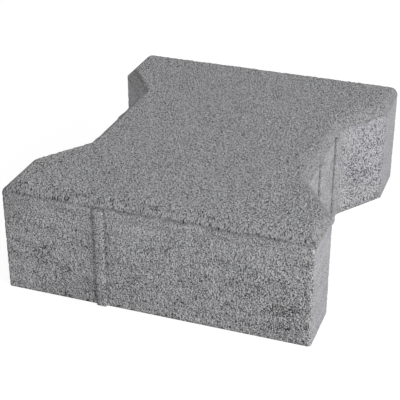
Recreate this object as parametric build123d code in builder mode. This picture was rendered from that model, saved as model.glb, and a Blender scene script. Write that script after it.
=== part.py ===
"""A double-T interlocking concrete paving stone, cast in one piece. Millimetres, +Z up.

The stone is an I in plan: two wide flanges joined by a narrower waist. Laid in rows, the
flange ends of two neighbours lie together in each waist, and the sloping shoulders lock
the rows. The origin is on the bed face, in the middle of the plan. The stone's length
runs along Y and its flanges along X.
"""
from build123d import *

import math
import os

# Plan of the body, at the foot of the walls and without the spacer nibs
body_length = 197.0  # front face to rear face, along Y
flange_width = 165.0  # across the ends of a flange, along X
waist_width = 124.0  # across the waist, along X
end_flat = 32.0  # straight end of each flange, along Y
shoulder_run = 30.0  # length along Y in which a shoulder slopes down to the waist
outer_corner_radius = 2.0  # at the square corners and where an end meets its shoulder
inner_corner_radius = 8.0  # where a shoulder runs into the waist

# Height
thickness = 62.0  # bed face to wearing face
bevel_drop = 5.5  # height of the bevel round the wearing face
bevel_set_in = 5.5  # how far the bevel leads the wearing face in from the walls

# Spacer nibs, upright ribs that keep the joint between two stones open
nib_width = 5.5
nib_projection = 1.5  # out from the wall
nib_edge = 0.65  # chamfer along both edges of a nib's crown
nib_head_gap = 1.0  # from the foot of a nib's head up to the foot of the bevel
nib_head_rise = 2.0  # height of the head, which slopes back to the bevel
nib_head_run = 2.5  # how far the head leads in over that height
face_nib_offset = 28.3  # nib on the front face, left of the middle
waist_nib_front = 9.3  # front nib on the right waist face, from the middle of the waist
waist_nib_rear = 26.0  # rear nib on the right waist face, from the middle of the waist

half_length = body_length / 2
half_flange = flange_width / 2
half_waist = waist_width / 2
shoulder_top = half_length - end_flat
shoulder_foot = shoulder_top - shoulder_run
shoulder_turn = math.atan2(half_flange - half_waist, shoulder_run)
wall_height = thickness - bevel_drop


def plan(level, set_in):
    """The outline at one height, with every wall moved in by set_in."""
    # Moving the walls in also slides both ends of each shoulder along it
    slide = set_in * math.tan(shoulder_turn / 2)
    right_side = [
        (half_flange - set_in, -half_length + set_in),
        (half_flange - set_in, -shoulder_top - slide),
        (half_waist - set_in, -shoulder_foot - slide),
        (half_waist - set_in, shoulder_foot + slide),
        (half_flange - set_in, shoulder_top + slide),
        (half_flange - set_in, half_length - set_in),
    ]
    left_side = [(-x, -y) for x, y in right_side]
    with BuildSketch(Plane.XY.offset(level)) as outline:
        with BuildLine():
            Polyline(*right_side, *left_side, close=True)
        make_face()
        mid_shoulder = (half_flange + half_waist) / 2 - set_in
        outer = outline.vertices().filter_by(lambda v: abs(v.X) > mid_shoulder)
        fillet(outer, radius=outer_corner_radius)
        inner = outline.vertices().filter_by(lambda v: abs(v.X) < mid_shoulder)
        fillet(inner, radius=inner_corner_radius + set_in)
    return outline.sketch


# Each nib as its place on the walls and its turn. Every nib has a twin half a turn round
nib_places = [
    (-face_nib_offset, -half_length, 0),
    (half_waist, -waist_nib_front, 90),
    (half_waist, waist_nib_rear, 90),
]
nib_places += [(-x, -y, turn + 180) for x, y, turn in nib_places]
nib_root = nib_head_run - nib_projection  # how deep a nib is rooted in its wall
nib_shaft = wall_height - nib_head_gap
nib_half = nib_width / 2

with BuildPart() as nib:
    # Standing out of the front wall, towards -Y
    with BuildSketch():
        with BuildLine():
            Polyline(
                (-nib_half, nib_root),
                (-nib_half, nib_edge - nib_projection),
                (nib_edge - nib_half, -nib_projection),
                (nib_half - nib_edge, -nib_projection),
                (nib_half, nib_edge - nib_projection),
                (nib_half, nib_root),
                close=True,
            )
        make_face()
    extrude(amount=nib_shaft + nib_head_rise)

    # The sloping head
    with BuildSketch(Plane.YZ):
        with BuildLine():
            Polyline(
                (nib_root, 0),
                (-nib_projection, 0),
                (-nib_projection, nib_shaft),
                (nib_root, nib_shaft + nib_head_rise),
                close=True,
            )
        make_face()
    extrude(amount=nib_half, both=True, mode=Mode.INTERSECT)

with BuildPart() as paving_stone:
    # Walls, from the bed face up to the bevel
    extrude(plan(0, 0), amount=wall_height)

    # Bevel, up to the wearing face
    loft([plan(wall_height, 0), plan(thickness, bevel_set_in)], ruled=True)

    # Spacer nibs
    with Locations(*[Location((x, y, 0), (0, 0, turn)) for x, y, turn in nib_places]):
        add(nib.part)

os.makedirs("parts", exist_ok=True)
paving_stone.part.label = "paving_stone"
export_step(paving_stone.part, "parts/paving_stone.step")
print("volume (litres):", round(paving_stone.part.volume / 1e6, 3))
print("size:", paving_stone.part.bounding_box().size)
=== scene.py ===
"""A double-T interlocking concrete paving stone, lying flat in soft daylight."""

import math

import bpy
from mathutils import Euler, Matrix, Vector


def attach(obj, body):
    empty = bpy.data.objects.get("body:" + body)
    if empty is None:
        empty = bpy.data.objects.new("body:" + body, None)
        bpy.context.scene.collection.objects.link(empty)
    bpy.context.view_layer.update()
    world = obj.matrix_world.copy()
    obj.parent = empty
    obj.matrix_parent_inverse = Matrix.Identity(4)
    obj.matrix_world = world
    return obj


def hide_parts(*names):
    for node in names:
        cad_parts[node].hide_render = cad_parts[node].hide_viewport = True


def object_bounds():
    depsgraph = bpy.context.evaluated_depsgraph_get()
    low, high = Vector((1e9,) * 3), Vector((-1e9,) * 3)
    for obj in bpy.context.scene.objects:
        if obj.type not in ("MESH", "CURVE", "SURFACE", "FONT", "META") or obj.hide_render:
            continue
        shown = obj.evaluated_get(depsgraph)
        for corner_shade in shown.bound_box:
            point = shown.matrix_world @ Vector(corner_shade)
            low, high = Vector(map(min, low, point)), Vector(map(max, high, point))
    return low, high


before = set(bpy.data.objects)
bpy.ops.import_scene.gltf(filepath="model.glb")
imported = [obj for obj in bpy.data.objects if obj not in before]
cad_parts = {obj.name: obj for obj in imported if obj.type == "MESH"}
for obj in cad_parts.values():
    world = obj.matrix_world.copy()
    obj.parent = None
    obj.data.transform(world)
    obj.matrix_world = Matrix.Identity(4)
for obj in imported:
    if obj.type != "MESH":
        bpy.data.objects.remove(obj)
cad_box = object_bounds()

bl_info = {
    "name": "Concrete paving stone",
    "version": (1, 0, 0),
    "blender": (4, 5, 0),
    "location": "3D View > Sidebar > Paving",
    "description": "Casts the surface of a double-T paving stone and sets up its studio",
    "category": "Add Mesh",
}

STONE = "paving_stone"
MM = 0.001
MOST_TRIANGLES = 200000

# Where the stone's faces and edges lie, in mm from the middle of its bed face. The head walls
# are the front and the rear one, and their nibs stand out to the ends of the box
NIB = 1.5
HEAD_WALL = cad_box[1][1] / MM - NIB
HALF_FLANGE = cad_box[1][0] / MM
WEARING_FACE = cad_box[1][2] / MM
BEVEL_FOOT = WEARING_FACE - 5.5
MITRE = HEAD_WALL - HALF_FLANGE

# Distances in mm from the middle between which the flanks turn rough, along the stone from the
# waist to the shoulders, and across it from the flanges' straight ends to the shoulders
ROUGH_ALONG = (37.5, 43)
ROUGH_ACROSS = (HALF_FLANGE - 0.5, HALF_FLANGE - 2)

# Half the size, in mm, of the part of the bed face that lies inside all the walls
BED_MIDDLE = (60, 96)

# The bevel is fuller, by FULL_HEIGHT in mm, within FULL_REACH of this point, the middle of its
# turn at the rear right corner
FULL_CORNER = tuple(edge - 2.7 for edge in (HALF_FLANGE, HEAD_WALL, WEARING_FACE))
FULL_REACH = 5.0
FULL_HEIGHT = 1.1

# How far, in mm, the skin is lifted before its relief is cut into it
LIFT = 0.3

# Lines that the mould pressed into the walls: height, half width, the length that they are
# broken into, all in mm, and strength, which sets both their depth and their painted shade.
# The lower one is the foot of the facing layer
SEAMS = (
    (BEVEL_FOOT - 0.3, 1.5, 12, 1.0),
    (51.3, 1.1, 5, 0.7),
)

# How much lower, in mm, these lines and the foot of the bevel lie on the flanks
FLANK_DROP = 1.5

# Heights in mm between which the walls turn finer, and the front and rear bevels get rounder
FINER = (36, 50)
ROUNDER = (57.8, 59.8)

# Middle, in mm, and radius of each patch where the mix was short of cement, and how short
POROUS_PATCHES = (
    ((66, -98, 16), 19, 1.0),
    ((-58, -98, 20), 17, 0.5),
    ((69, 47, 20), 14, 1.0),
)

# Middle, in mm, and radius of each patch that is coloured darker
DARK_PATCHES = (
    ((-76, -98, 52), 17),
    ((-40, -98, 6), 16),
)

# Flecks in the surface: the size in mm of the cells of noise that they come from, the heights
# of the noise, from 0 to 1, at which a fleck begins and is full, and how ragged it is
PORES = {"cell": 1.4, "low": 0.62, "high": 0.76}
CHIPS = {"cell": 1.8, "low": 0.48, "high": 0.66}
SCORES = {"cell": 0.85, "low": 0.69, "high": 0.73}
PITS = {"low": 0.62, "high": 0.68}
SEAM_BITS = {"low": 0.28, "high": 0.5, "detail": 2.0}
WORN = {"cell": 4, "low": 0.3, "high": 0.7, "detail": 3.0}
STARVED = {"cell": 26, "low": 0.6, "high": 0.75, "detail": 3.0}
TINGE = {"cell": 22, "low": 0.4, "high": 0.6, "detail": 2.0}

# Sizes, in mm, of the surface's other patterns
WANDER_CELL = 4
RAGGED_CELL = 9
SANDY_CELL = 1.4
SWELL_CELL = 9
LAYER_CELL = 6
PATCHY_CELL = 5
CLOUD_CELL = 10
MARK_CELL = 1.1

# How a pattern is measured along X, Y and Z: it is drawn out along an axis that is under 1
LENGTHWAYS = (1.0, 0.7, 0.75)
SQUAT = (1.0, 0.7, 0.7)
UP_THE_HEADS = (1.3, 0.5, 0.5)
UP_THE_FLANKS = (0.5, 1.3, 0.5)
SCORED = (1.2, 0.3, 0.3)
LAYERED = (0.3, 0.3, 1.0)
UPRIGHT = (1.0, 1.0, 0.05)

# Height, in mm, up to which the grain on the bevel runs up the slope
COMBED_TO = 60

# The rays that show the white background itself, straight, in a gloss or through glass. All
# others only carry the light that falls on the stone
SHOWING = ("Is Camera Ray", "Is Glossy Ray", "Is Transmission Ray")

# A Map Range node that eases in and out. Its inputs are 0 the value, 1 and 2 the range that it
# comes from, and 3 and 4 the range that it goes to, which is 0 to 1 where it isn't given
SMOOTH = {"interpolation_type": "SMOOTHSTEP"}


def linear(hex_colour):
    """An sRGB hex colour as linear red, green and blue."""
    parts = [int(hex_colour[i : i + 2], 16) / 255 for i in (0, 2, 4)]
    return [c / 12.92 if c <= 0.04045 else ((c + 0.055) / 1.055) ** 2.4 for c in parts]


def add(tree, kind, inputs=None, out=0, **settings):
    """Add a node with its settings and its inputs, linked or set, and give one output."""
    made = tree.nodes.new(kind)
    for name, value in settings.items():
        setattr(made, name, value)
    for key, value in (inputs or {}).items():
        if isinstance(value, bpy.types.NodeSocket):
            tree.links.new(value, made.inputs[key])
        else:
            made.inputs[key].default_value = value
    return made.outputs[out] if made.outputs else None


class StoneSettings(bpy.types.PropertyGroup):
    """Sizes and colours of the stone's surface."""

    mesh_size: bpy.props.FloatProperty(
        name="Mesh size",
        description="Side of the small squares that the surface is made of",
        default=0.93 * MM,
        unit="LENGTH",
    )
    triangles: bpy.props.IntProperty(
        name="Triangles",
        description="How many triangles to aim for by thinning out the bed face",
        default=194000,
    )
    wear: bpy.props.FloatProperty(
        name="Wear",
        description="How far the sharp edges are worn off, from not at all to fully",
        default=0.3,
        subtype="FACTOR",
    )
    unevenness: bpy.props.FloatProperty(
        name="Unevenness",
        description="Height of the sandy unevenness of the surface",
        default=0.85 * MM,
        unit="LENGTH",
    )
    swell: bpy.props.FloatProperty(
        name="Swell",
        description="Height of the wide shallow swells of the surface",
        default=0.2 * MM,
        unit="LENGTH",
    )
    pore_depth: bpy.props.FloatProperty(
        name="Pore depth",
        description="Depth of an open pore",
        default=0.5 * MM,
        unit="LENGTH",
    )
    chip_depth: bpy.props.FloatProperty(
        name="Chip depth",
        description="Depth of a chip in a sharp edge",
        default=0.4 * MM,
        unit="LENGTH",
    )
    seam_depth: bpy.props.FloatProperty(
        name="Seam depth",
        description="Depth of the lines that the mould pressed into the walls",
        default=0.2 * MM,
        unit="LENGTH",
    )
    grain: bpy.props.FloatProperty(
        name="Grain",
        description="Size of the sand grains that stand in the surface",
        default=0.9 * MM,
        unit="LENGTH",
    )
    speck: bpy.props.FloatProperty(
        name="Speck",
        description="Size of the paler and darker specks",
        default=0.55 * MM,
        unit="LENGTH",
    )
    pit_size: bpy.props.FloatProperty(
        name="Pit size",
        description="How far apart the fine pits can lie",
        default=0.75 * MM,
        unit="LENGTH",
    )
    pit_depth: bpy.props.FloatProperty(
        name="Pit depth",
        description="Depth of a fine pit",
        default=0.8 * MM,
        unit="LENGTH",
    )
    cement: bpy.props.FloatVectorProperty(
        name="Cement",
        description="Colour of the cement between the grains",
        default=linear("686869"),
        subtype="COLOR",
    )
    sand: bpy.props.FloatVectorProperty(
        name="Sand",
        description="Colour of the palest sand grains",
        default=linear("B8B8BA"),
        subtype="COLOR",
    )
    # Pits, pores and scores are darkened towards this colour, as painted shade inside them
    pit: bpy.props.FloatVectorProperty(
        name="Pit",
        description="Colour at the bottom of a pit",
        default=linear("1C1C1E"),
        subtype="COLOR",
    )
    tinge: bpy.props.FloatVectorProperty(
        name="Tinge",
        description="Tint of the violet bloom on the flanks, over the colour under it",
        default=linear("FDFBFF"),
        subtype="COLOR",
    )


class StudioSettings(bpy.types.PropertyGroup):
    """Floor, light and camera."""

    azimuth: bpy.props.FloatProperty(
        name="Azimuth",
        description="How far round to the right the camera stands",
        default=math.radians(19.717),
        subtype="ANGLE",
    )
    elevation: bpy.props.FloatProperty(
        name="Elevation",
        description="How far above the floor the camera looks down from",
        default=math.radians(28.272),
        subtype="ANGLE",
    )
    roll: bpy.props.FloatProperty(
        name="Roll",
        description="How far the camera leans to its left",
        default=math.radians(0.105),
        subtype="ANGLE",
    )
    aim: bpy.props.FloatVectorProperty(
        name="Aim",
        description="Point that the camera looks at",
        default=(-11.353 * MM, 3.333 * MM, 12.955 * MM),
        subtype="TRANSLATION",
        unit="LENGTH",
    )
    distance: bpy.props.FloatProperty(
        name="Distance",
        description="From the camera to the point that it looks at",
        default=663.55 * MM,
        unit="LENGTH",
    )
    lens: bpy.props.FloatProperty(
        name="Lens",
        description="Focal length in millimetres",
        default=102.646,
        unit="CAMERA",
    )
    sensor: bpy.props.FloatProperty(
        name="Sensor",
        description="Width of the camera's sensor in millimetres",
        default=36.0,
        unit="CAMERA",
    )
    sky: bpy.props.FloatProperty(
        name="Sky",
        description="Strength of the even light from all round",
        default=0.605,
    )
    window: bpy.props.FloatProperty(
        name="Window",
        description="Power of the large soft light on the right, in watts",
        default=9.5,
        unit="POWER",
    )
    window_azimuth: bpy.props.FloatProperty(
        name="Window azimuth",
        description="How far round to the right the soft light stands",
        default=math.radians(70),
        subtype="ANGLE",
    )
    window_elevation: bpy.props.FloatProperty(
        name="Window elevation",
        description="How far above the floor the soft light shines from",
        default=math.radians(20.5),
        subtype="ANGLE",
    )
    window_distance: bpy.props.FloatProperty(
        name="Window distance",
        description="From the soft light to the stone",
        default=1.2,
        unit="LENGTH",
    )
    window_width: bpy.props.FloatProperty(
        name="Window width",
        description="Width of the soft light",
        default=0.9,
        unit="LENGTH",
    )
    window_height: bpy.props.FloatProperty(
        name="Window height",
        description="Height of the soft light",
        default=0.6,
        unit="LENGTH",
    )
    floor_size: bpy.props.FloatProperty(
        name="Floor size",
        description="Side of the square floor",
        default=6.0,
        unit="LENGTH",
    )
    floor: bpy.props.FloatVectorProperty(
        name="Floor",
        description="Colour of the floor as the stone is lit by it",
        default=linear("E7E7E7"),
        subtype="COLOR",
    )
    shadow: bpy.props.FloatVectorProperty(
        name="Shadow",
        description="Colour of the floor under its glow, which sets how dark the shadow gets",
        default=linear("898989"),
        subtype="COLOR",
    )
    glow: bpy.props.FloatProperty(
        name="Glow",
        description="How bright the floor itself looks, where 1 is white",
        default=0.85,
    )


def total(tree, start, *parts):
    """A number or field plus each further field times its own factor."""
    for field, factor in parts:
        start = add(
            tree, "ShaderNodeMath", {0: field, 1: factor, 2: start}, operation="MULTIPLY_ADD"
        )
    return start


def flecks(tree, place, cell, low, high, more=0.0, detail=1.0):
    """Irregular flecks, 1 inside and 0 between, with more of them where the field is higher."""
    noise = add(
        tree, "ShaderNodeTexNoise", {"Vector": place, "Scale": 1 / cell, "Detail": detail}
    )
    raised = add(tree, "ShaderNodeMath", {0: noise, 1: more}, operation="ADD")
    return add(tree, "ShaderNodeMapRange", {0: raised, 1: low, 2: high}, **SMOOTH)


def seams(tree, place, height, beside):
    """The pressed lines in the walls: broken, and fainter on the flanks and towards the left."""
    seam = 0.0
    for level, half_width, cell, strength in SEAMS:
        away = total(tree, -level, (height, 1.0))
        away = add(tree, "ShaderNodeMath", {0: away}, operation="ABSOLUTE")
        line = {0: away, 1: half_width, 2: 0.3 * half_width, 3: 0.0, 4: strength}
        line = add(tree, "ShaderNodeMapRange", line, **SMOOTH)
        kept = flecks(tree, place, cell=cell, **SEAM_BITS)
        line = add(tree, "ShaderNodeMath", {0: line, 1: kept}, operation="MULTIPLY")
        seam = add(tree, "ShaderNodeMath", {0: seam, 1: line}, operation="MAXIMUM")
    x = add(tree, "ShaderNodeSeparateXYZ", {0: place})
    faint = add(tree, "ShaderNodeMapRange", {0: x, 1: -75, 2: -35, 3: 0.6, 4: 1.0}, **SMOOTH)
    faint = total(tree, faint, (beside, -0.5))
    return add(tree, "ShaderNodeMath", {0: seam, 1: faint}, operation="MULTIPLY")


def zones(tree, place):
    """The parts of the surface that the mould shaped in their own ways, each as a mask."""
    x, y, z = (add(tree, "ShaderNodeSeparateXYZ", {0: place}, out=axis) for axis in range(3))
    side = add(tree, "ShaderNodeMath", {0: x}, operation="ABSOLUTE")
    along = add(tree, "ShaderNodeMath", {0: y}, operation="ABSOLUTE")

    # The mitres part the head walls from the flanks
    head = total(tree, -MITRE, (along, 1.0), (side, -1.0))
    head = add(tree, "ShaderNodeMapRange", {0: head, 1: -0.5, 2: 0.5}, **SMOOTH)
    beside = total(tree, 1.0, (head, -1.0))

    # The mould's lines wander by a millimetre, and lie lower on the flanks
    wander = {"Vector": place, "Scale": 1 / WANDER_CELL, "Detail": 2.0}
    wander = add(tree, "ShaderNodeTexNoise", wander)
    height = total(tree, -1.0, (wander, 2.0), (z, 1.0), (beside, FLANK_DROP))
    wall = {0: height, 1: BEVEL_FOOT + 0.2, 2: BEVEL_FOOT - 0.6}
    wall = add(tree, "ShaderNodeMapRange", wall, **SMOOTH)

    # The wearing face, with the depth of its own relief
    top = {0: z, 1: WEARING_FACE - 1.4, 2: WEARING_FACE - 0.8}
    top = add(tree, "ShaderNodeMapRange", top, **SMOOTH)
    bevel = total(tree, 1.0, (wall, -1.0), (top, -1.0))

    # Of the flanks' walls, only the shoulders are rough
    flank = add(tree, "ShaderNodeMath", {0: beside, 1: wall}, operation="MULTIPLY")
    shoulder = {0: along, 1: ROUGH_ALONG[0], 2: ROUGH_ALONG[1]}
    shoulder = add(tree, "ShaderNodeMapRange", shoulder, **SMOOTH)
    inner = {0: side, 1: ROUGH_ACROSS[0], 2: ROUGH_ACROSS[1]}
    inner = add(tree, "ShaderNodeMapRange", inner, **SMOOTH)
    shoulder = add(tree, "ShaderNodeMath", {0: shoulder, 1: inner}, operation="MULTIPLY")
    rough = add(tree, "ShaderNodeMath", {0: flank, 1: shoulder}, operation="MULTIPLY")

    # The upper part of the walls came out finer
    fine = add(tree, "ShaderNodeMapRange", {0: z, 1: FINER[0], 2: FINER[1]}, **SMOOTH)
    fine = add(tree, "ShaderNodeMath", {0: fine, 1: wall}, operation="MULTIPLY")
    return {
        "head": head,
        "wall": wall,
        "bevel": bevel,
        "flank": flank,
        "smooth": total(tree, flank, (rough, -1.0)),
        "sloped": total(tree, beside, (flank, -1.0)),
        "tilted": add(tree, "ShaderNodeMath", {0: beside, 1: bevel}, operation="MULTIPLY"),
        "fine": fine,
        "even": add(tree, "ShaderNodeMath", {0: fine, 1: rough}, operation="MULTIPLY"),
        "seam": seams(tree, place, height, beside),
    }


def porous_places(tree, place):
    """How starved of cement each place is, from 0 to 1: porous patches with ragged edges."""
    ragged = {"Vector": place, "Scale": 1 / RAGGED_CELL, "Detail": 3.0}
    ragged = add(tree, "ShaderNodeTexNoise", ragged)
    found = flecks(tree, place, **STARVED)
    for centre, radius, strength in POROUS_PATCHES:
        away = {0: place, 1: centre}
        away = add(tree, "ShaderNodeVectorMath", away, out="Value", operation="DISTANCE")
        edge = total(tree, away, (ragged, radius))
        near = {0: edge, 1: 1.6 * radius, 2: 0.7 * radius, 3: 0.0, 4: strength}
        near = add(tree, "ShaderNodeMapRange", near, **SMOOTH)
        found = add(tree, "ShaderNodeMath", {0: found, 1: near}, operation="MAXIMUM")
    return found


def edge_wear(tree, metres, normal, place, zone, settings):
    """How far each point moves as the edges wear, a mask of the arrises, and a mask of the
    concave corners that gets painted shade.
    """
    # The upper edge of the front and rear bevels is rounded all along
    level = add(tree, "ShaderNodeSeparateXYZ", {0: place}, out=2)
    near = {"Value": metres, "Iterations": 4}
    near = add(tree, "GeometryNodeBlurAttribute", near, data_type="FLOAT_VECTOR")
    rounding = add(tree, "ShaderNodeVectorMath", {0: near, 1: metres}, operation="SUBTRACT")
    upper = add(tree, "ShaderNodeMapRange", {0: level, 1: ROUNDER[0], 2: ROUNDER[1]}, **SMOOTH)
    upper = add(tree, "ShaderNodeMath", {0: upper, 1: zone["head"]}, operation="MULTIPLY")
    rounding = {0: rounding, "Scale": upper}
    rounding = add(tree, "ShaderNodeVectorMath", rounding, operation="SCALE")

    # An arris stands out of its surface's own average, and a concave corner lies inside it. The
    # corner mask only darkens the colour, as painted shade in the corners
    wide = {"Value": metres, "Iterations": 5}
    wide = add(tree, "GeometryNodeBlurAttribute", wide, data_type="FLOAT_VECTOR")
    inward = add(tree, "ShaderNodeVectorMath", {0: wide, 1: metres}, operation="SUBTRACT")
    bend = {0: inward, 1: normal}
    bend = add(tree, "ShaderNodeVectorMath", bend, out="Value", operation="DOT_PRODUCT")
    arris = add(tree, "ShaderNodeMapRange", {0: bend, 1: -0.12 * MM, 2: -0.45 * MM}, **SMOOTH)
    corner_shade = add(tree, "ShaderNodeMapRange", {0: bend, 1: 0.04 * MM, 2: 0.2 * MM}, **SMOOTH)

    # Neither the rounded edges nor the foot of the walls wear any further
    sharp = total(tree, 1.0, (upper, -1.0))
    arris = add(tree, "ShaderNodeMath", {0: arris, 1: sharp}, operation="MULTIPLY")
    foot = add(tree, "ShaderNodeMapRange", {0: level, 1: 0.3, 2: 3.5}, **SMOOTH)
    arris = add(tree, "ShaderNodeMath", {0: arris, 1: foot}, operation="MULTIPLY")
    worn = flecks(tree, place, **WORN)
    worn = add(tree, "ShaderNodeMath", {0: worn, 1: settings.wear}, operation="MULTIPLY")
    worn = add(tree, "ShaderNodeMath", {0: worn, 1: arris}, operation="MULTIPLY")
    worn = add(tree, "ShaderNodeVectorMath", {0: inward, "Scale": worn}, operation="SCALE")
    moved = add(tree, "ShaderNodeVectorMath", {0: rounding, 1: worn}, operation="ADD")
    return moved, arris, corner_shade


def relief_group(settings):
    """Wears the edges, presses the seams under the bevel and opens the larger pores."""
    tree = bpy.data.node_groups.new("cast_relief", "GeometryNodeTree")
    tree.interface.new_socket("Geometry", in_out="INPUT", socket_type="NodeSocketGeometry")
    tree.interface.new_socket("Geometry", in_out="OUTPUT", socket_type="NodeSocketGeometry")
    result = add(tree, "NodeGroupInput")
    metres = add(tree, "GeometryNodeInputPosition")
    normal = add(tree, "GeometryNodeInputNormal")
    place = add(tree, "ShaderNodeVectorMath", {0: metres, "Scale": 1 / MM}, operation="SCALE")
    level = add(tree, "ShaderNodeSeparateXYZ", {0: place}, out=2)
    zone = zones(tree, place)
    porous = porous_places(tree, place)
    moved, arris, corner_shade = edge_wear(tree, metres, normal, place, zone, settings)

    apart = {0: place, 1: FULL_CORNER}
    apart = add(tree, "ShaderNodeVectorMath", apart, out="Value", operation="DISTANCE")
    full = add(tree, "ShaderNodeMapRange", {0: apart, 1: FULL_REACH, 2: 0.0}, **SMOOTH)

    # Pores open in the rough walls, and fewer in the bevel and the wearing face
    lean = total(
        tree,
        -0.06,
        (zone["wall"], 0.04),
        (zone["bevel"], 0.01),
        (zone["tilted"], -0.05),
        (zone["fine"], -0.02),
        (zone["smooth"], -0.06),
        (porous, 0.06),
        (zone["seam"], -0.05),
    )
    squat = add(tree, "ShaderNodeVectorMath", {0: place, 1: SQUAT}, operation="MULTIPLY")
    pores = flecks(tree, squat, more=lean, **PORES)
    chips = flecks(tree, place, **CHIPS)
    chips = add(tree, "ShaderNodeMath", {0: chips, 1: arris}, operation="MULTIPLY")

    # The whole surface swells a little, and is sandy where the mould didn't smooth it
    swell = {"Vector": place, "Scale": 1 / SWELL_CELL, "Detail": 1.0}
    swell = add(tree, "ShaderNodeTexNoise", swell)
    sandy = {"Vector": squat, "Scale": 1 / SANDY_CELL, "Detail": 0.0}
    sandy = add(tree, "ShaderNodeTexNoise", sandy)
    share = total(
        tree,
        1.0,
        (zone["wall"], -0.06),
        (zone["smooth"], -0.5),
        (zone["bevel"], -0.55),
        (zone["tilted"], -0.2),
        (zone["fine"], -0.1),
        (zone["even"], -0.2),
        (arris, -0.35),
    )
    sandy = add(tree, "ShaderNodeMath", {0: sandy, 1: share}, operation="MULTIPLY")
    rise = total(
        tree,
        LIFT * MM,
        (pores, -settings.pore_depth),
        (chips, -settings.chip_depth),
        (zone["seam"], -settings.seam_depth),
        (swell, -settings.swell),
        (sandy, -settings.unevenness),
        (full, FULL_HEIGHT * MM),
    )

    # The bed face stays flat
    above = add(tree, "ShaderNodeMapRange", {0: level, 1: 0.1, 2: 0.5}, **SMOOTH)
    rise = add(tree, "ShaderNodeMath", {0: rise, 1: above}, operation="MULTIPLY")
    rise = add(tree, "ShaderNodeVectorMath", {0: normal, "Scale": rise}, operation="SCALE")
    moved = add(tree, "ShaderNodeVectorMath", {0: moved, 1: rise}, operation="ADD")

    # The material reads these, so they are stored before the surface moves
    upturn = add(tree, "ShaderNodeSeparateXYZ", {0: normal}, out=2)
    stored = (("pore", pores), ("corner_shade", corner_shade), ("porous", porous), ("upturn", upturn))
    for name, field in stored:
        store = {"Geometry": result, "Name": name, "Value": field}
        result = add(tree, "GeometryNodeStoreNamedAttribute", store)
    result = add(tree, "GeometryNodeSetPosition", {"Geometry": result, "Offset": moved})

    # Nothing stands out of the mould that the stone was cast in
    low, high = (Vector(end) for end in cad_box)
    inside = add(tree, "ShaderNodeVectorMath", {0: metres, 1: low}, operation="MAXIMUM")
    inside = add(tree, "ShaderNodeVectorMath", {0: inside, 1: high}, operation="MINIMUM")
    result = add(tree, "GeometryNodeSetPosition", {"Geometry": result, "Position": inside})
    add(tree, "NodeGroupOutput", {0: result})
    return tree


def drawn_out(tree, place, zone):
    """Places measured so that the grain runs lengthways, and up the slope low on the bevel."""
    # A Mix node's inputs 4 and 5 and its output 1 are vectors
    upward = {0: zone["head"], 4: UP_THE_FLANKS, 5: UP_THE_HEADS}
    upward = add(tree, "ShaderNodeMix", upward, out=1, data_type="VECTOR")
    level = add(tree, "ShaderNodeSeparateXYZ", {0: place}, out=2)
    sloping = total(tree, 0.0, (level, -1.0), (zone["bevel"], COMBED_TO))
    sloping = add(tree, "ShaderNodeMath", {0: sloping, 1: 0.0}, operation="GREATER_THAN")
    factors = {0: sloping, 4: LENGTHWAYS, 5: upward}
    factors = add(tree, "ShaderNodeMix", factors, out=1, data_type="VECTOR")
    return add(tree, "ShaderNodeVectorMath", {0: place, 1: factors}, operation="MULTIPLY")


def sand_and_cement(tree, drawn, zone, settings):
    """Pale specks of sand in darker cement, more even where the mould smoothed the flanks."""
    speck = {"Vector": drawn, "Scale": MM / settings.speck, "Detail": 0.0}
    speck = add(tree, "ShaderNodeTexNoise", speck)
    speck = add(tree, "ShaderNodeMapRange", {0: speck, 1: 0.32, 2: 0.54}, **SMOOTH)
    share = total(tree, 1.0, (zone["smooth"], -0.25), (zone["even"], -0.2))
    speck = add(tree, "ShaderNodeMath", {0: speck, 1: share}, operation="MULTIPLY")
    speck = total(tree, speck, (zone["smooth"], 0.18), (zone["even"], 0.14))

    # A Mix node's inputs 6 and 7 and its output 2 are colours
    colours = {0: speck, 6: (*settings.cement, 1), 7: (*settings.sand, 1)}
    return add(tree, "ShaderNodeMix", colours, out=2, data_type="RGBA")


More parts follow.
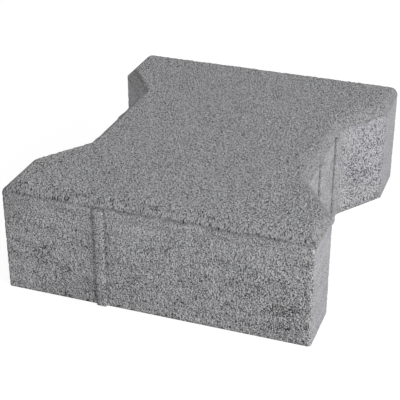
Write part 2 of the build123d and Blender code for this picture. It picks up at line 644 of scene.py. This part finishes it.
def pitting(tree, place, drawn, porous, zone, settings):
    """Fine pits, and scores up the lower part of the bevel: how deep they are, and how dark they
    are painted as shade inside them.
    """
    # The mix filled the mould in uneven layers
    flat = add(tree, "ShaderNodeVectorMath", {0: place, 1: LAYERED}, operation="MULTIPLY")
    layers = {"Vector": flat, "Scale": 1 / LAYER_CELL, "Detail": 2.0}
    layers = add(tree, "ShaderNodeTexNoise", layers)
    layers = {0: layers, 1: 0.35, 2: 0.65, 3: 0.04, 4: -0.04}
    layers = add(tree, "ShaderNodeMapRange", layers, **SMOOTH)
    layers = add(tree, "ShaderNodeMath", {0: layers, 1: zone["wall"]}, operation="MULTIPLY")

    # There are more pits in the rough walls and in the porous patches
    lean = total(
        tree,
        layers,
        (zone["wall"], 0.015),
        (zone["smooth"], -0.08),
        (porous, 0.05),
        (zone["seam"], -0.08),
        (zone["fine"], -0.02),
        (zone["tilted"], -0.03),
    )
    pits = flecks(tree, drawn, cell=settings.pit_size / MM, more=lean, **PITS)

    # The tamper leaves scores on the front and rear bevels, the more the lower down
    level = add(tree, "ShaderNodeSeparateXYZ", {0: place}, out=2)
    lower = {0: level, 1: WEARING_FACE - 0.5, 2: BEVEL_FOOT + 2.5, 3: 0.0, 4: 0.06}
    lower = add(tree, "ShaderNodeMapRange", lower, **SMOOTH)
    slender = add(tree, "ShaderNodeVectorMath", {0: place, 1: SCORED}, operation="MULTIPLY")
    scores = flecks(tree, slender, more=lower, **SCORES)
    combed = total(tree, zone["bevel"], (zone["tilted"], -1.0))
    scores = add(tree, "ShaderNodeMath", {0: scores, 1: combed}, operation="MULTIPLY")

    # The pits' painted shade is weaker on the walls and the bevel, and strongest in the porous
    # patches
    share = total(
        tree,
        1.0,
        (zone["wall"], -0.3),
        (zone["bevel"], -0.3),
        (zone["fine"], -0.1),
        (porous, 0.12),
    )
    dark = add(tree, "ShaderNodeMath", {0: pits, 1: share}, operation="MULTIPLY")
    dark = add(tree, "ShaderNodeMath", {0: dark, 1: scores}, operation="MAXIMUM")
    deep = add(tree, "ShaderNodeMath", {0: pits, 1: scores}, operation="MAXIMUM")
    return deep, dark


def tone_and_painted_shade(tree, place, corner_shade, upturn, zone):
    """How pale each place is beside the plain mix, from clouds in the cement to painted shade in
    the pressed lines and the concave corners.
    """
    cloud = {"Vector": place, "Scale": 1 / CLOUD_CELL, "Detail": 3.0}
    cloud = add(tree, "ShaderNodeTexNoise", cloud)
    shade = {0: cloud, 1: 0.25, 2: 0.75, 3: 0.97, 4: 1.03}
    shade = add(tree, "ShaderNodeMapRange", shade, **SMOOTH)

    # Layers of the mix, and the drag marks that the mould left as it was lifted off
    flat = add(tree, "ShaderNodeVectorMath", {0: place, 1: LAYERED}, operation="MULTIPLY")
    patchy = {"Vector": flat, "Scale": 1 / PATCHY_CELL, "Detail": 3.0}
    patchy = add(tree, "ShaderNodeTexNoise", patchy)
    patchy = {0: patchy, 1: 0.3, 2: 0.7, 3: -0.06, 4: 0.06}
    patchy = add(tree, "ShaderNodeMapRange", patchy, **SMOOTH)
    patchy = add(tree, "ShaderNodeMath", {0: patchy, 1: zone["wall"]}, operation="MULTIPLY")
    upright = add(tree, "ShaderNodeVectorMath", {0: place, 1: UPRIGHT}, operation="MULTIPLY")
    marks = {"Vector": upright, "Scale": 1 / MARK_CELL, "Detail": 1.0}
    marks = add(tree, "ShaderNodeTexNoise", marks)
    marks = {0: marks, 1: 0.3, 2: 0.7, 3: -0.04, 4: 0.04}
    marks = add(tree, "ShaderNodeMapRange", marks, **SMOOTH)
    marks = add(tree, "ShaderNodeMath", {0: marks, 1: zone["wall"]}, operation="MULTIPLY")

    # The bevel along the flanks is as dark as the wearing face, most of all at its upper edge
    tilted = add(tree, "ShaderNodeMapRange", {0: upturn, 1: 0.97, 2: 0.85}, **SMOOTH)
    tilted = add(tree, "ShaderNodeMath", {0: tilted, 1: zone["sloped"]}, operation="MULTIPLY")
    level = add(tree, "ShaderNodeSeparateXYZ", {0: place}, out=2)
    crest = {0: level, 1: WEARING_FACE - 2.2, 2: WEARING_FACE - 1.2}
    crest = add(tree, "ShaderNodeMapRange", crest, **SMOOTH)
    crest = add(tree, "ShaderNodeMath", {0: crest, 1: tilted}, operation="MULTIPLY")

    dark_patch = 0.0
    for centre, radius in DARK_PATCHES:
        away = {0: place, 1: centre}
        away = add(tree, "ShaderNodeVectorMath", away, out="Value", operation="DISTANCE")
        near = add(tree, "ShaderNodeMapRange", {0: away, 1: radius, 2: 0.3 * radius}, **SMOOTH)
        dark_patch = add(tree, "ShaderNodeMath", {0: dark_patch, 1: near}, operation="MAXIMUM")
    return total(
        tree,
        shade,
        (marks, 1.0),
        (patchy, 1.0),
        (zone["wall"], 0.065),
        (zone["smooth"], -0.2),
        # Painted shade in the grooves of the pressed lines
        (zone["seam"], -0.3),
        (zone["bevel"], -0.13),
        (tilted, -0.16),
        (crest, -0.1),
        (dark_patch, -0.13),
        # Painted shade in the concave corners, such as at the feet of the nibs
        (corner_shade, -0.37),
        (zone["fine"], -0.02),
        (zone["even"], -0.08),
    )


def concrete(settings):
    """Vibrated concrete, struck from its mould while still damp: matt, sandy and pitted.

    The grains and specks of the real stone are mostly finer than the 0.6 mm that a pixel
    covers, so they are drawn about one pixel large.
    """
    material = bpy.data.materials.new("vibrated_grey_concrete")
    material.use_nodes = True
    tree = material.node_tree
    tree.nodes.clear()
    metres = add(tree, "ShaderNodeTexCoord", out="Object")
    place = add(tree, "ShaderNodeVectorMath", {0: metres, "Scale": 1 / MM}, operation="SCALE")
    pore, corner_shade, porous, upturn = (
        add(tree, "ShaderNodeAttribute", out="Fac", attribute_name=name)
        for name in ("pore", "corner_shade", "porous", "upturn")
    )
    zone = zones(tree, place)
    drawn = drawn_out(tree, place, zone)

    colour = sand_and_cement(tree, drawn, zone, settings)
    deep, dark = pitting(tree, place, drawn, porous, zone, settings)
    # Pits, scores and the pores cut into the mesh are darkened towards the pit colour, as painted
    # shade inside them
    dark = total(tree, dark, (pore, 0.4))
    pitted = {0: dark, 6: colour, 7: (*settings.pit, 1)}
    colour = add(tree, "ShaderNodeMix", pitted, out=2, data_type="RGBA")

    # A faint violet tinge lies in cloudy patches on the flanks, and lifts them a trace
    tinge = flecks(tree, place, **TINGE)
    tinge = add(tree, "ShaderNodeMath", {0: tinge, 1: zone["flank"]}, operation="MULTIPLY")
    tint = {0: tinge, 6: (1, 1, 1, 1), 7: (*settings.tinge, 1)}
    tint = add(tree, "ShaderNodeMix", tint, out=2, data_type="RGBA")
    colour = add(tree, "ShaderNodeVectorMath", {0: colour, 1: tint}, operation="MULTIPLY")
    shade = tone_and_painted_shade(tree, place, corner_shade, upturn, zone)
    shade = total(tree, shade, (tinge, 0.016))
    colour = add(tree, "ShaderNodeVectorMath", {0: colour, "Scale": shade}, operation="SCALE")

    # Grains stand out twice as far as the pits are deep, and less where the mould pressed them
    grain = {"Vector": drawn, "Scale": MM / settings.grain, "Detail": 0.0}
    grain = add(tree, "ShaderNodeTexNoise", grain)
    height = total(tree, 0.0, (grain, 2.0), (deep, -1.0))
    share = total(
        tree,
        1.0,
        (zone["wall"], -0.08),
        (zone["smooth"], -0.3),
        (zone["seam"], -0.5),
        (zone["bevel"], -0.7),
        (zone["fine"], -0.16),
        (zone["even"], -0.2),
        (porous, 0.1),
    )
    height = add(tree, "ShaderNodeMath", {0: height, 1: share}, operation="MULTIPLY")
    bump = {"Height": height, "Distance": settings.pit_depth, "Strength": 1.0}
    bump = add(tree, "ShaderNodeBump", bump)

    # The pits swallow part of the gloss that smooth cement would have
    finish = {"Base Color": colour, "Roughness": 0.92, "Specular IOR Level": 0.33, "Normal": bump}
    shader = add(tree, "ShaderNodeBsdfPrincipled", finish)
    add(tree, "ShaderNodeOutputMaterial", {"Surface": shader})
    return material


def seen_by(tree, *kinds):
    """1 for rays of these kinds and 0 for all others."""
    seen = 0.0
    for kind in kinds:
        ray = add(tree, "ShaderNodeLightPath", out=kind)
        seen = add(tree, "ShaderNodeMath", {0: seen, 1: ray}, operation="MAXIMUM")
    return seen


def studio_floor(settings):
    """White painted studio floor: matt, and glowing to the eye so that only the shadow shows."""
    material = bpy.data.materials.new("white_painted_floor")
    material.use_nodes = True
    tree = material.node_tree
    tree.nodes.clear()
    card = add(tree, "ShaderNodeBsdfDiffuse", {"Color": (*settings.shadow, 1)})
    glow = {"Color": (1, 1, 1, 1), "Strength": settings.glow}
    glow = add(tree, "ShaderNodeEmission", glow)
    shown = add(tree, "ShaderNodeAddShader", {0: card, 1: glow})
    lit = add(tree, "ShaderNodeBsdfDiffuse", {"Color": (*settings.floor, 1)})
    both = {0: seen_by(tree, *SHOWING), 1: lit, 2: shown}
    both = add(tree, "ShaderNodeMixShader", both)
    add(tree, "ShaderNodeOutputMaterial", {"Surface": both})
    return material


class PAVING_OT_stone(bpy.types.Operator):
    """Cast the stone: a dense skin over the CAD solid, with its pits and worn edges"""

    bl_idname = "paving.stone"
    bl_label = "Cast the stone"

    def execute(self, context):
        # A copy of the CAD solid, without its material and marks, and with its corners merged
        settings = context.scene.paving_stone
        bpy.ops.object.select_all(action="DESELECT")
        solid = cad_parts[STONE]
        context.view_layer.objects.active = solid
        solid.select_set(True)
        bpy.ops.object.duplicate()
        stone = context.object
        stone.name = "cast_stone"
        stone.data.name = "cast_stone"
        stone.data.materials.clear()
        for key in list(stone.keys()):
            del stone[key]
        bpy.ops.object.mode_set(mode="EDIT")
        bpy.ops.mesh.select_all(action="SELECT")
        bpy.ops.mesh.remove_doubles(threshold=0.001 * MM)
        bpy.ops.object.mode_set(mode="OBJECT")

        # Small even squares that keep the mould's edges
        bpy.ops.object.modifier_add(type="REMESH")
        skin = stone.modifiers[-1]
        skin.mode = "SHARP"
        skin.octree_depth = 8
        length = max(high - low for low, high in zip(*cad_box))
        skin.scale = length / (2**skin.octree_depth * settings.mesh_size)
        bpy.ops.object.modifier_apply(modifier=skin.name)

        # The bed face is flat and hidden, so its middle needs fewer triangles
        bed = stone.vertex_groups.new(name="bed")
        half_width, half_length = (half * MM for half in BED_MIDDLE)
        middle = [
            v.index
            for v in stone.data.vertices
            if v.co.z < 0.01 * MM and abs(v.co.x) < half_width and abs(v.co.y) < half_length
        ]
        if not middle:
            raise RuntimeError("The bed face wasn't found, so the stone can't be thinned out")
        bed.add(middle, 1.0, "REPLACE")
        count = sum(len(face.vertices) - 2 for face in stone.data.polygons)
        bpy.ops.object.modifier_add(type="DECIMATE")
        thin = stone.modifiers[-1]
        thin.vertex_group = bed.name
        thin.ratio = min(1.0, settings.triangles / count)
        bpy.ops.object.modifier_apply(modifier=thin.name)
        stone.vertex_groups.clear()
        count = sum(len(face.vertices) - 2 for face in stone.data.polygons)
        if count >= MOST_TRIANGLES:
            raise RuntimeError("The stone has too many triangles: make its mesh size larger")

        bpy.ops.object.modifier_add(type="NODES")
        relief = stone.modifiers[-1]
        relief.node_group = relief_group(settings)
        bpy.ops.object.modifier_apply(modifier=relief.name)
        bpy.ops.object.shade_smooth()
        stone.data.materials.append(concrete(settings))

        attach(stone, "root")
        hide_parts(STONE)
        return {"FINISHED"}


class PAVING_OT_studio(bpy.types.Operator):
    """Lay the pale floor, light it softly and set the camera at the photograph's angle"""

    bl_idname = "paving.studio"
    bl_label = "Set up the studio"

    def execute(self, context):
        settings = context.scene.paving_studio
        bpy.ops.mesh.primitive_plane_add(size=settings.floor_size)
        floor = context.object
        floor.name = "floor"
        floor.data.materials.append(studio_floor(settings))

        world = bpy.data.worlds.new("soft_sky")
        context.scene.world = world
        world.use_nodes = True
        tree = world.node_tree
        tree.nodes.clear()
        strength = total(tree, settings.sky, (seen_by(tree, *SHOWING), 1 - settings.sky))
        sky = {"Color": (1, 1, 1, 1), "Strength": strength}
        sky = add(tree, "ShaderNodeBackground", sky)
        add(tree, "ShaderNodeOutputWorld", {"Surface": sky})

        toward = Euler((math.pi / 2 - settings.window_elevation, 0, settings.window_azimuth))
        place = toward.to_matrix() @ Vector((0, 0, settings.window_distance))
        bpy.ops.object.light_add(type="AREA", location=place)
        window = context.object
        window.rotation_euler = toward
        window.data.shape = "RECTANGLE"
        window.data.size = settings.window_width
        window.data.size_y = settings.window_height
        window.data.energy = settings.window

        view = Euler((math.pi / 2 - settings.elevation, 0, settings.azimuth)).to_matrix()
        view = view @ Matrix.Rotation(settings.roll, 3, "Z")
        place = settings.aim + view @ Vector((0, 0, settings.distance))
        bpy.ops.object.camera_add(location=place)
        camera = context.object
        camera.rotation_euler = view.to_euler()
        camera.data.lens = settings.lens
        camera.data.sensor_width = settings.sensor
        context.scene.camera = camera
        context.scene.view_settings.view_transform = "Standard"
        return {"FINISHED"}


class PAVING_PT_panel(bpy.types.Panel):
    """Lists the settings and steps of the stone and its studio"""

    bl_label = "Paving stone"
    bl_space_type = "VIEW_3D"
    bl_region_type = "UI"
    bl_category = "Paving"

    def draw(self, context):
        for group, operator in (
            (context.scene.paving_stone, PAVING_OT_stone),
            (context.scene.paving_studio, PAVING_OT_studio),
        ):
            for name in group.__annotations__:
                self.layout.prop(group, name)
            self.layout.operator(operator.bl_idname)


CLASSES = (
    StoneSettings,
    StudioSettings,
    PAVING_OT_stone,
    PAVING_OT_studio,
    PAVING_PT_panel,
)


def register():
    """Register the classes and hang the settings on the scene."""
    for cls in CLASSES:
        bpy.utils.register_class(cls)
    bpy.types.Scene.paving_stone = bpy.props.PointerProperty(type=StoneSettings)
    bpy.types.Scene.paving_studio = bpy.props.PointerProperty(type=StudioSettings)


def unregister():
    """Take the settings and classes away again."""
    del bpy.types.Scene.paving_studio
    del bpy.types.Scene.paving_stone
    for cls in reversed(CLASSES):
        bpy.utils.unregister_class(cls)


def main():
    """Build everything."""
    register()
    bpy.ops.paving.stone()
    bpy.ops.paving.studio()


if __name__ == "__main__":
    main()
